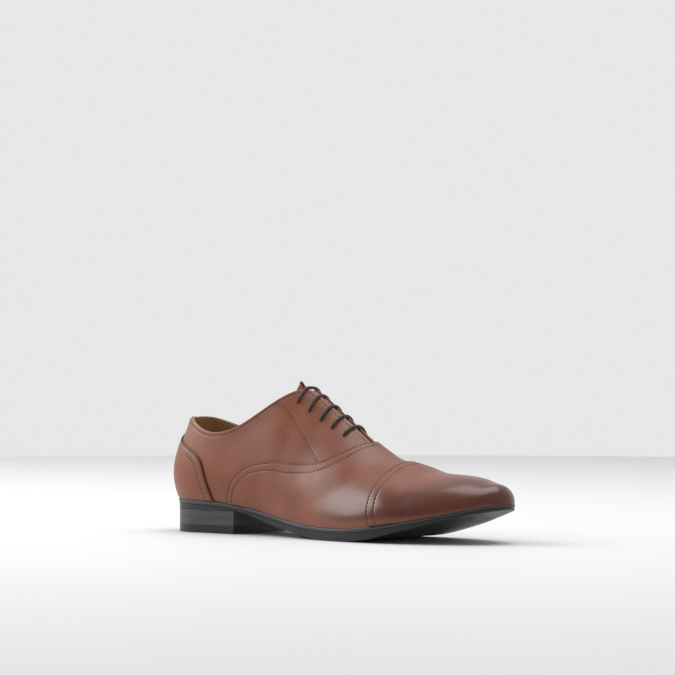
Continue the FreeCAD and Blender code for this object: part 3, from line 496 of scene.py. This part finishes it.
class Nodes:
    """A node tree written from left to right."""

    def __init__(self, name):
        self.material = bpy.data.materials.new(name)
        self.material.use_nodes = True
        self.tree = self.material.node_tree
        self.surface = self.tree.nodes["Principled BSDF"]
        self.coordinates = self.tree.nodes.new("ShaderNodeTexCoord").outputs["Object"]

    def set(self, **values):
        for key, value in values.items():
            self.surface.inputs[key.replace("_", " ")].default_value = value

    def node(self, kind, inputs=(), **settings):
        node = self.tree.nodes.new(kind)
        for key, value in settings.items():
            setattr(node, key, value)
        for key, value in dict(inputs).items():
            if isinstance(value, bpy.types.NodeSocket):
                self.tree.links.new(value, node.inputs[key])
            else:
                node.inputs[key].default_value = value
        return node

    def noise(self, scale, detail=4.0, roughness=0.5, vector=None):
        inputs = {"Vector": vector or self.coordinates, "Scale": scale, "Detail": detail,
                  "Roughness": roughness}
        return self.node("ShaderNodeTexNoise", inputs).outputs["Fac"]

    def cells(self, scale):
        return self.node("ShaderNodeTexVoronoi", {"Vector": self.coordinates, "Scale": scale},
                         feature="DISTANCE_TO_EDGE").outputs["Distance"]

    def stretched(self, scale):
        return self.node("ShaderNodeMapping", {"Vector": self.coordinates, "Scale": scale}).outputs["Vector"]

    def attribute(self, name):
        return self.node("ShaderNodeAttribute", attribute_name=name).outputs["Fac"]

    def span(self, value, low, high, to_low=0.0, to_high=1.0):
        inputs = {"Value": value, "From Min": low, "From Max": high, "To Min": to_low, "To Max": to_high}
        return self.node("ShaderNodeMapRange", inputs).outputs["Result"]

    def maths(self, kind, a, b):
        return self.node("ShaderNodeMath", {0: a, 1: b}, operation=kind).outputs[0]

    def blend(self, share, a, b, kind="MIX"):
        node = self.node("ShaderNodeMix", data_type="RGBA", blend_type=kind)
        for key, value in ((0, share), (6, a), (7, b)):
            if isinstance(value, bpy.types.NodeSocket):
                self.tree.links.new(value, node.inputs[key])
            else:
                node.inputs[key].default_value = value if key == 0 else (*value, 1.0)
        return node.outputs[2]

    def into(self, socket, output):
        self.tree.links.new(output, self.surface.inputs[socket])

    def bump(self, height, strength, distance, under=None):
        node = self.node("ShaderNodeBump", {"Height": height, "Strength": strength, "Distance": distance})
        if under is not None:
            self.tree.links.new(under, node.inputs["Normal"])
        return node.outputs["Normal"]


def upper_leather():
    """Smooth polished calf: pores and fine wrinkles, cloudy colour, painted shade along the rims and in the
    stitch grooves, darker at the burnished toe, and painted shade for the dark reflection along the lower
    flank.
    """
    m = Nodes("upper_leather")
    cloud = m.span(m.noise(22, 5, 0.55), 0.35, 0.68)
    colour = m.blend(cloud, COGNAC_DEEP, COGNAC)
    colour = m.blend(m.span(m.noise(95, 4, 0.6), 0.5, 0.8, 0.0, 0.35), colour, COGNAC_LIGHT)
    colour = m.blend(m.span(m.noise(2600, 2), 0.52, 0.75, 0.0, 0.28), colour, COGNAC_DARK)
    # burnished toe, and painted shade for the dark reflection along the lower flank
    burnish_and_shade = m.maths("MULTIPLY", m.attribute("burnish_and_shade"), m.span(m.noise(30, 3), 0.3, 0.7, 0.75, 1.0))
    colour = m.blend(burnish_and_shade, colour, BURNISHED_AND_SHADED)
    # painted shade along the rims and in the stitch grooves
    colour = m.blend(m.attribute("rim_and_groove_shade"), colour, RIM_SHADE_COLOUR)
    colour = m.blend(m.attribute("cut"), colour, CUT_EDGE)
    m.into("Base Color", colour)
    rough = m.span(m.noise(60, 4, 0.6), 0.3, 0.7, 0.42, 0.52)
    m.into("Roughness", m.maths("SUBTRACT", rough, m.maths("MULTIPLY", burnish_and_shade, 0.24)))
    m.set(Specular_IOR_Level=0.45, Coat_Weight=0.08, Coat_Roughness=0.2, Coat_IOR=1.45)
    wrinkles = m.bump(m.noise(420, 5, 0.6), 0.16, 0.0003)
    m.into("Normal", m.bump(m.cells(1900), 0.16, 0.00012, wrinkles))
    return m.material


def lining_leather():
    m = Nodes("lining_leather")
    colour = m.blend(m.span(m.noise(40, 5, 0.6), 0.3, 0.7), (0.33, 0.19, 0.085), (0.50, 0.32, 0.16))
    colour = m.blend(m.span(m.noise(1500, 3), 0.45, 0.8, 0, 0.4), colour, (0.26, 0.14, 0.06))
    m.into("Base Color", colour)
    m.into("Roughness", m.span(m.noise(160, 4), 0.3, 0.7, 0.58, 0.75))
    m.into("Normal", m.bump(m.cells(1300), 0.35, 0.0002, m.bump(m.noise(300, 5), 0.2, 0.0003)))
    return m.material


def sole_rubber(name, base, light, lines, rough=0.42):
    """Moulded rubber with faint buffing lines that run level round the edge."""
    m = Nodes(name)
    streaks = m.noise(1.0, 4, 0.6, m.stretched((30, 30, lines)))
    colour = m.blend(m.span(streaks, 0.3, 0.75), base, light)
    colour = m.blend(m.span(m.noise(260, 5), 0.55, 0.8, 0, 0.35), colour, light)
    m.into("Base Color", colour)
    m.into("Roughness", m.span(m.noise(90, 4), 0.3, 0.7, rough - 0.06, rough + 0.08))
    m.set(Specular_IOR_Level=0.45)
    m.into("Normal", m.bump(streaks, 0.25, 0.0002, m.bump(m.noise(1800, 3), 0.15, 0.0001)))
    return m.material


BRAID_REPEATS, STRANDS_ROUND = 240, 4.0      # waves along the whole lace and round it


def braid():
    """Waxed round braid: two families of strands crossing."""
    m = Nodes("lace")
    uv = m.tree.nodes.new("ShaderNodeTexCoord").outputs["UV"]
    split = m.node("ShaderNodeSeparateXYZ", {"Vector": uv})
    waves = []
    for turn in (STRANDS_ROUND, -STRANDS_ROUND):
        lean = m.maths("ADD", m.maths("MULTIPLY", split.outputs[0], BRAID_REPEATS),
                       m.maths("MULTIPLY", split.outputs[1], turn))
        waves.append(m.maths("ABSOLUTE", m.maths("SINE", m.maths("MULTIPLY", lean, math.pi), 0.0), 0.0))
    weave = m.maths("MAXIMUM", waves[0], waves[1])
    colour = m.blend(weave, (0.010, 0.005, 0.004), (0.042, 0.022, 0.016))
    colour = m.blend(m.span(m.noise(700, 3), 0.5, 0.8, 0, 0.5), colour, (0.075, 0.045, 0.033))
    m.into("Base Color", colour)
    m.set(Roughness=0.5, Sheen_Weight=0.08, Sheen_Roughness=0.4)
    m.into("Normal", m.bump(weave, 0.6, 0.0002))
    return m.material


def plain(name, base, light, scale, rough, metallic=0.0, bump=0.2):
    """Two-tone speckled finish for inner parts."""
    m = Nodes(name)
    m.into("Base Color", m.blend(m.span(m.noise(scale, 5, 0.6), 0.3, 0.7), base, light))
    m.into("Roughness", m.span(m.noise(scale * 2, 3), 0.3, 0.7, rough - 0.08, rough + 0.08))
    m.set(Metallic=metallic)
    m.into("Normal", m.bump(m.noise(scale * 4, 4), bump, 0.0002))
    return m.material


COGNAC, COGNAC_DEEP, COGNAC_LIGHT = (0.255, 0.080, 0.037), (0.190, 0.050, 0.021), (0.32, 0.120, 0.064)
# after the dark speckle colour: the burnished-toe colour, which also paints shade on the lower flank, then the
# colour of painted shade at rims and stitch grooves
COGNAC_DARK, BURNISHED_AND_SHADED, RIM_SHADE_COLOUR = (0.10, 0.030, 0.016), (0.085, 0.018, 0.009), (0.045, 0.013, 0.008)
CUT_EDGE = (0.42, 0.22, 0.14)

UPPER = upper_leather()
TAN = lining_leather()
RUBBER = sole_rubber("sole_rubber", (0.007, 0.0073, 0.008), (0.014, 0.0146, 0.016), 1500)
RAND = sole_rubber("welt", (0.030, 0.031, 0.034), (0.052, 0.054, 0.058), 1500, 0.40)
HEEL = sole_rubber("heel_board", (0.034, 0.035, 0.038), (0.085, 0.087, 0.092), 2600, 0.46)
BRAID = braid()
THREAD = plain("thread", (0.040, 0.010, 0.007), (0.10, 0.030, 0.020), 900, 0.6)
STIFF_CLOTH = plain("stiffener", (0.58, 0.52, 0.42), (0.72, 0.66, 0.55), 900, 0.8)
CORK = plain("cork", (0.30, 0.17, 0.08), (0.62, 0.42, 0.24), 350, 0.85, 0.0, 0.5)
BOARD = plain("insole_board", (0.42, 0.28, 0.16), (0.55, 0.40, 0.25), 500, 0.8)
STEEL = plain("steel", (0.45, 0.45, 0.47), (0.62, 0.62, 0.64), 600, 0.35, 1.0)
BRASS = plain("eyelet_brass", (0.38, 0.27, 0.13), (0.55, 0.42, 0.23), 600, 0.35, 1.0)
TIP = plain("aglet", (0.03, 0.02, 0.016), (0.06, 0.042, 0.034), 500, 0.35)

# the upper --------------------------------------------------------------------------------

FINE = 0.9            # spacing of the leather meshes
SIDES = (("lateral", -1), ("medial", 1))
vamp_edge, vamp_fold = pattern(VAMP_EDGE), pattern(VAMP_FOLD)
counter_edge, facing_seam = pattern(COUNTER_EDGE), pattern(FACING_SEAM)
ON_LAP = OUTER[1] + RAISE

seam_rows, vamp_dents, cap_dents, counter_dents = [], [], [], []


def sew(line, height, dents, depth=0.24, width=0.75, count=900):
    """Adds a stitched row and the groove that its thread lies in."""
    points, normals = last_at(*line(np.linspace(0.004, 0.996, count)))
    seam_rows.append((points + normals * (height - depth * 0.55), normals))
    dents.append((points[::3] + normals[::3] * height, depth, width))


for share in (0.15, 0.62):
    sew(over_ridge(inside(vamp_edge, vamp_fold, share)), ON_LAP, vamp_dents)
for ahead in (1.4, 7.4):
    sew(over_ridge(pattern(CAP_EDGE, ahead)), ON_LAP, cap_dents)

leather("vamp", VAMP_PLACE, FINE, OUTER, UPPER, lap_lift(over_ridge(vamp_fold)), vamp_dents, nodes=["vamp"])
leather("toe_cap", CAP_PLACE, FINE, OUTER, UPPER, lap_lift(over_ridge(CAP_UNDER)), cap_dents,
        nodes=["toe_cap"])

for distance, last_t in ((1.4, 0.64), (6.4, 0.52)):
    row = inset_line(counter_edge, distance, -1)
    for side in (-1, 1):
        def line(t, row=row, side=side, last_t=last_t):
            u, w = row(t * last_t)
            return u, side * np.maximum(1 - w, EDGE)
        sew(line, ON_LAP, counter_dents)


def counter_place(p, q):
    u, w = counter_edge(q)
    return (2 * p - 1) * u, 1 - w


leather("counter_cover", counter_place, FINE, (OUTER[0] + RAISE, ON_LAP), UPPER, None, counter_dents,
        nodes=["counter_cover"])

for name, side in SIDES:
    dents = []
    sew(on_side(facing_seam, side), OUTER[1], dents)

    def top_row(t, side=side):
        x = 3.0 + t * 172.0
        u = u_of(x)
        return u, side * (1 - below_top(np.atleast_1d(u), side, 3.0))
    sew(top_row, OUTER[1], dents, 0.18)

    def back_seam(q, side=side):
        return np.full_like(q, END), side * np.maximum(1 - q, EDGE)
    leather("quarter_" + name, ruled(back_seam, on_side(vamp_fold, side)), FINE, OUTER, UPPER, None, dents,
            nodes=["quarter_" + name], cut_top=True)
    lining = ruled(back_seam, on_side(pattern(LINING_EDGE), side))

    def tucked_in(p, q, lining=lining):
        u, v = lining(p, 0.985 * q)
        return u, v
    leather("quarter_lining_" + name, tucked_in, 2.2, LINING, TAN,
            radius=0.3, nodes=["quarter_lining_" + name])
leather("vamp_lining", ruled(over_ridge(pattern(LINING_EDGE, 1.2)), toe_end), 2.5, LINING, TAN, radius=0.3,
        nodes=["vamp_lining"])

# the tongue -------------------------------------------------------------------------------

EYELET_FIRST, EYELET_PITCH, EYELET_REACH = 117.5, 10.75, 12.5
TONGUE_REACH, TONGUE_RISE = 18.0, 12.0
TONGUE_SKIN = LACE_BELOW - LACE_R - 0.4 - 0.7


def w_at_reach(u, side, reach):
    """How far up the section lies a given distance sideways from the ridge."""
    low, high = 0.4, 1.0
    for _ in range(40):
        w = (low + high) / 2
        if abs(float(last_point(u, w, side)[1]) - float(LEAN_Y(u))) > reach:
            low = w
        else:
            high = w
    return w


def around(u, side, reach):
    """Point and normal a distance round the instep from the middle of the throat."""
    steps = np.linspace(1, 0.4, 241)
    points = last_point(np.full(241, float(u)), steps, side)
    start = np.array([points[0, 0], float(LEAN_Y(u)), float(CREST(u))])
    walked = np.linalg.norm(np.diff(np.concatenate([start[None], points]), axis=0), axis=-1).cumsum()
    if reach <= walked[0]:
        return start + (points[0] - start) * reach / walked[0], last_at(u, 0.0)[1]
    w = np.interp(reach, walked, steps)
    return last_point(u, w, side), last_normal(u, w, np.asarray(side))


def tongue_grid(depth, thick, rows=90, columns=41):
    """Runs under the facings and stands up past them, its base close under the vamp."""
    start, end, corner = EYELET_FIRST - TONGUE_RISE, 187.0, 122.0
    top, bottom = np.zeros((rows, columns, 3)), np.zeros((rows, columns, 3))
    for i, t in enumerate(np.linspace(0, 1, rows)):
        x = start + (end - start) * t
        u, spare = u_of(max(x, corner)), max(0.0, corner - x)
        half_width = TONGUE_REACH * (1 - 0.14 * t) * (1 - 0.28 * (1 - ease(t / 0.10)))
        off = depth + (-TONGUE_SKIN - 0.6) * ease((t - 0.74) / 0.24)
        for j, s in enumerate(np.linspace(-1, 1, columns)):
            if abs(s) < 1e-6:
                point, n = last_at(u, 0.0)
            else:
                point, n = around(u, -1 if s < 0 else 1, half_width * abs(s))
            point = point + np.array([-0.62 * spare, 0, 0.8 * spare])
            rim = min(t * (end - start), (1 - abs(s)) * half_width)
            drop = 0.35 * (1 - math.sqrt(max(0.0, 1 - (1 - min(rim / 0.35, 1)) ** 2)))
            top[i, j], bottom[i, j] = point + n * (off - drop), point + n * (off - thick + drop)
    return top, bottom


for name, depth, thick, material in (("tongue", TONGUE_SKIN, 1.2, UPPER),
                                     ("tongue_lining", TONGUE_SKIN - 1.4, 0.8, TAN)):
    top, bottom = tongue_grid(depth, thick)
    piece = solid_grid(name, top, bottom, material, "tongue")
    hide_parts(name)

# the lace ---------------------------------------------------------------------------------


def eyelet_u(row):
    return float(u_of(EYELET_FIRST + row * EYELET_PITCH))


def on_instep(u, side, reach, height):
    """Point over the instep a distance sideways from the ridge."""
    point, n = last_at(u, side * max(1 - w_at_reach(u, side, reach), EDGE))
    return point + n * height


def bar(row, start):
    points, u = [], eyelet_u(row)
    for side in (start, -start):
        half_bar = [on_instep(u, side, EYELET_REACH, LACE_BELOW)]
        half_bar += [on_instep(u, side, EYELET_REACH * share, LACE_ON_TOP - dip)
                     for share, dip in ((1.0, 0.0), (0.56, 0.3), (0.21, 0.5))]
        points += half_bar if side == start else half_bar[::-1]
    return points


def inner_run(first, second, side, shift):
    return [on_instep(eyelet_u(first + (second - first) * part), side, EYELET_REACH + shift, LACE_BELOW)
            for part in (0.25, 0.75)]


def tucked(side, row):
    """Spare lace lying inside: down the wall of the quarter and forward along the sole."""
    x = EYELET_FIRST + row * EYELET_PITCH
    route = [(x + 3, 0.70), (x + 6, 0.50), (x + 10, 0.32), (x + 22, 0.22), (x + 50, 0.20), (x + 85, 0.26),
             (x + 118, 0.32)]
    points = []
    for ahead, w in route:
        point, n = last_at(float(u_of(ahead)), side * (1 - w))
        points.append(point + n * (LACE_BELOW - 2.4))
    return points


LACE_ROUTE = (tucked(-1, 1)[::-1] + bar(1, -1) + inner_run(1, 3, 1, 2.6) + bar(3, 1)
              + inner_run(3, 4, -1, 0.0) + bar(4, -1) + inner_run(4, 2, 1, -3.6) + bar(2, 1)
              + inner_run(2, 0, -1, 0.0) + bar(0, -1) + tucked(1, 0))


def spline_curve(name, points, radius, material):
    curve = bpy.data.curves.new(name, "CURVE")
    curve.dimensions = "3D"
    line = curve.splines.new("NURBS")
    line.points.add(len(points) - 1)
    for spot, point in zip(line.points, to_frame(points)):
        spot.co = (*point, 1.0)
    line.order_u, line.use_endpoint_u, line.resolution_u = 3, True, 10
    curve.bevel_depth, curve.bevel_resolution, curve.use_fill_caps = radius / 1000, 4, True
    curve.materials.append(material)
    obj = bpy.data.objects.new(name, curve)
    bpy.context.collection.objects.link(obj)
    return obj


lace = spline_curve("lace", LACE_ROUTE, LACE_R, BRAID)
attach(lace, "shoe")
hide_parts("lace")

# the bottom -------------------------------------------------------------------------------


def rand_floor(u):
    return SOLE_TOP(u) - 3.0 * (1 - 0.5 * ease((x_of(u) - 215) / 60))


def welt_profile():
    """Half-round side with a thin lip standing a little proud at the toe."""
    shape = [(12.0, 0.0), (3.0, 0.0), (0.75, 0.02), (0.32, 0.10), (0.12, 0.25), (0.05, 0.45), (0.0, 0.62),
             (0.02, 0.78), (0.16, 0.90), (0.42, 0.975), (0.8, 1.0), (3.0, 1.0), (12.0, 1.0)]
    rings = []
    for inset, rise in shape:
        rings.append(sole_ring(lambda u: np.full_like(u, inset),
                               lambda u: rand_floor(u) + (SOLE_TOP(u) - 0.12 - rand_floor(u)) * rise))
    return rings


rings_object("welt", welt_profile(), RAND, ["welt"])

EDGE_ROUND = 0.00035      # metres, on the corners of the sole and the heel layers
KEPT_NODES = {"outsole": RUBBER, "top_lift": RUBBER, "heel_lift_lower": HEEL, "heel_lift_upper": HEEL,
              "heel_pins": STEEL, "shank": STEEL, "cork_filler": CORK, "insole_board": BOARD,
              "sock_liner": TAN,
              "heel_counter": STIFF_CLOTH, "topline_tape": STIFF_CLOTH, "toe_puff": STIFF_CLOTH,
              "vamp_backer": STIFF_CLOTH, "quarter_backer_lateral": STIFF_CLOTH,
              "quarter_backer_medial": STIFF_CLOTH, "facing_stay_lateral": STIFF_CLOTH,
              "facing_stay_medial": STIFF_CLOTH, "eyelets": BRASS, "aglets": TIP}
for node, material in KEPT_NODES.items():
    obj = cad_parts[node]
    obj.data.materials.clear()
    obj.data.materials.append(material)
    if node in ("outsole", "top_lift", "heel_lift_lower", "heel_lift_upper"):
        soft = obj.modifiers.new("rounded", "BEVEL")
        soft.width, soft.segments = EDGE_ROUND, 2
        soft.limit_method, soft.angle_limit = "ANGLE", math.radians(40)

stitches("stitching", seam_rows, THREAD)

# stage, lights and camera -------------------------------------------------------------------

FLOOR_RADIUS, FLOOR_SIDES = 1.75, 96
FLOOR_DROP = 0.0002      # just under the sole, so that the two don't share a plane
mesh = bpy.data.meshes.new("floor")
rim = [(FLOOR_RADIUS * math.cos(a), FLOOR_RADIUS * math.sin(a), -FLOOR_DROP)
       for a in np.linspace(0, 2 * math.pi, FLOOR_SIDES + 1)[:-1]]
mesh.from_pydata(rim, [], [tuple(range(FLOOR_SIDES))])
floor = bpy.data.objects.new("floor", mesh)
bpy.context.collection.objects.link(floor)
paper = Nodes("floor_paper")
paper.into("Base Color", paper.blend(paper.noise(3, 3), (0.73, 0.73, 0.735), (0.76, 0.76, 0.765)))
paper.set(Roughness=0.6, Specular_IOR_Level=0.3)
mesh.materials.append(paper.material)

world = bpy.data.worlds.new("studio")
bpy.context.scene.world = world
world.use_nodes = True
sky = world.node_tree
facing = sky.nodes.new("ShaderNodeVectorMath")
facing.operation = "DOT_PRODUCT"
facing.inputs[1].default_value = (0.65, -0.76, 0.0)       # the studio is darker away from the wall
sky.links.new(sky.nodes.new("ShaderNodeTexCoord").outputs["Generated"], facing.inputs[0])
shade = sky.nodes.new("ShaderNodeMapRange")
for key, value in (("From Min", -0.6), ("From Max", 0.9), ("To Min", 0.80), ("To Max", 0.34)):
    shade.inputs[key].default_value = value
sky.links.new(facing.outputs["Value"], shade.inputs["Value"])
sky.links.new(shade.outputs["Result"], sky.nodes["Background"].inputs["Color"])


def area(name, place, target, size, power):
    data = bpy.data.lights.new(name, "AREA")
    data.shape, data.size, data.size_y, data.energy = "RECTANGLE", size[0], size[1], power
    obj = bpy.data.objects.new(name, data)
    bpy.context.collection.objects.link(obj)
    obj.location = place
    obj.rotation_euler = (Vector(target) - Vector(place)).to_track_quat("-Z", "Y").to_euler()


area("key", (-1.45, -0.6, 1.15), (0, 0, 0.04), (1.5, 1.1), 24)
area("top", (0.15, 0.35, 1.5), (0, 0, 0.05), (1.1, 1.1), 12)

bpy.context.scene.view_settings.view_transform = "Standard"
camera = bpy.data.objects.new("camera", bpy.data.cameras.new("camera"))
bpy.context.collection.objects.link(camera)
# level, in front of the toe on the lateral side
CAMERA_PLACE, CAMERA_TURN = (1693.4, -1803.5, 142.1), 40.56
camera.location = to_frame(CAMERA_PLACE)
camera.rotation_euler = (math.radians(90), 0, math.radians(CAMERA_TURN))
camera.data.sensor_width, camera.data.lens = 36.0, 170.05
camera.data.shift_x, camera.data.shift_y = 0.0008, 0.0114
camera.data.clip_start, camera.data.clip_end = 0.05, 30
bpy.context.scene.camera = camera

bpy.context.view_layer.update()
